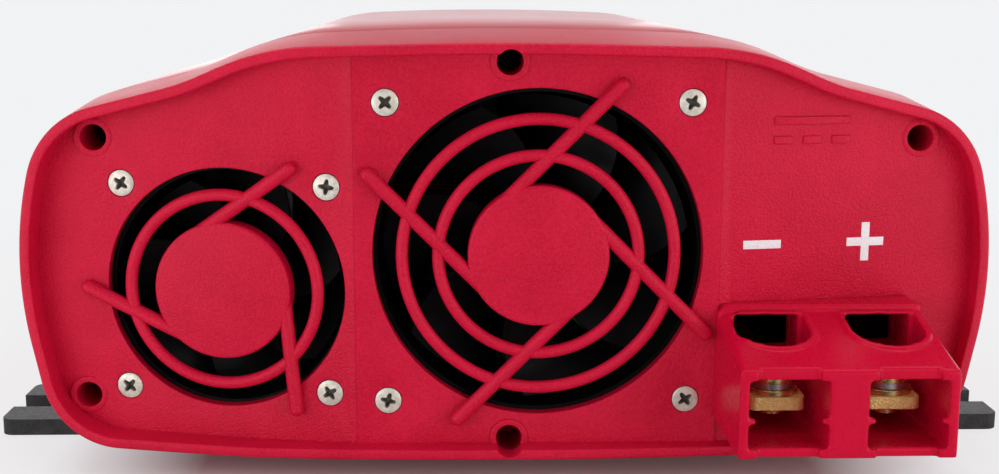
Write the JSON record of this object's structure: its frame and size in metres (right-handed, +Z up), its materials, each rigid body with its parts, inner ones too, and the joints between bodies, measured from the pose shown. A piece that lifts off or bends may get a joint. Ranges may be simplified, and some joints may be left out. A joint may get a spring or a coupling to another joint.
{
  "type": "power inverter",
  "caption": "Portable power inverter: a rounded red case with swirl fan grilles, a shrouded DC terminal block, AC outlets, a rocker switch and slotted mounting feet.",
  "frame": {"origin": "middle of the footprint, on the surface that the feet stand on", "axes": "+X to the right seen from the DC end, +Y from the DC end to the AC end, +Z up"},
  "size_m": [0.266, 0.326, 0.1068],
  "materials": {
    "cap_red": "spark-eroded matt moulded red",
    "body_red": "glossy red paint",
    "screw_steel": "bright plated steel",
    "terminal_brass": "plain brass",
    "fan_black": "moulded black",
    "foot_charcoal": "moulded charcoal",
    "fitting_black": "moulded black",
    "lens_green": "clear green",
    "board_green": "coated board",
    "ferrite": "sintered dark grey",
    "winding_copper": "enamelled copper",
    "capacitor_sleeve": "dark sleeve",
    "sink_aluminium": "plain extruded",
    "fuse_plastic": "clear green"
  },
  "bodies": {
    "housing": {"dc_end_cap": "cap_red", "ac_end_cap": "cap_red", "upper_shell": "body_red", "lower_shell": "body_red", "dc_case_screws": "screw_steel", "ac_case_screws": "screw_steel", "terminal_shroud": "cap_red", "shroud_screws": "screw_steel", "negative_bar": "terminal_brass", "positive_bar": "terminal_brass", "terminal_screws": "terminal_brass", "spring_washers": "screw_steel", "flat_washers": "terminal_brass", "large_fan_frame": "fan_black", "large_fan_bearing": "terminal_brass", "large_fan_stator": "winding_copper", "large_fan_screws": "screw_steel", "large_fan_nuts": "screw_steel", "small_fan_frame": "fan_black", "small_fan_bearing": "terminal_brass", "small_fan_stator": "winding_copper", "small_fan_screws": "screw_steel", "small_fan_nuts": "screw_steel", "front_left_foot": "foot_charcoal", "front_right_foot": "foot_charcoal", "rear_left_foot": "foot_charcoal", "rear_right_foot": "foot_charcoal", "foot_screws": "screw_steel", "left_outlet": "fitting_black", "right_outlet": "fitting_black", "outlet_contacts": "terminal_brass", "switch_housing": "fitting_black", "usb_shell": "screw_steel", "usb_tongues": "fitting_black", "indicator_lenses": "lens_green", "circuit_board": "board_green", "board_screws": "screw_steel", "transformer_cores": "ferrite", "transformer_windings": "winding_copper", "input_capacitors": "capacitor_sleeve", "output_capacitors": "capacitor_sleeve", "choke_core": "ferrite", "choke_coil": "winding_copper", "left_heat_sink": "sink_aluminium", "right_heat_sink": "sink_aluminium", "power_transistors": "fitting_black", "input_fuses": "fuse_plastic"},
    "large_fan": {"large_fan_rotor": "fan_black", "large_fan_shaft": "screw_steel"},
    "small_fan": {"small_fan_rotor": "fan_black", "small_fan_shaft": "screw_steel"},
    "rocker": {"power_rocker": "fitting_black"}
  },
  "joints": [
    {"name": "large_fan_spin", "type": "hinge", "parent": "housing", "child": "large_fan", "pos_m": [0.0068, -0.131, 0.055], "axis": [0, 1, 0], "continuous": true},
    {"name": "small_fan_spin", "type": "hinge", "parent": "housing", "child": "small_fan", "pos_m": [-0.06775, -0.12591, 0.0458], "axis": [0.1478, 0.989, 0], "continuous": true},
    {"name": "power_rocker_tilt", "type": "hinge", "parent": "housing", "child": "rocker", "pos_m": [-0.07967, 0.15217, 0.058], "axis": [0.989, 0.1478, 0], "range_deg": [0, 20]}
  ]
}
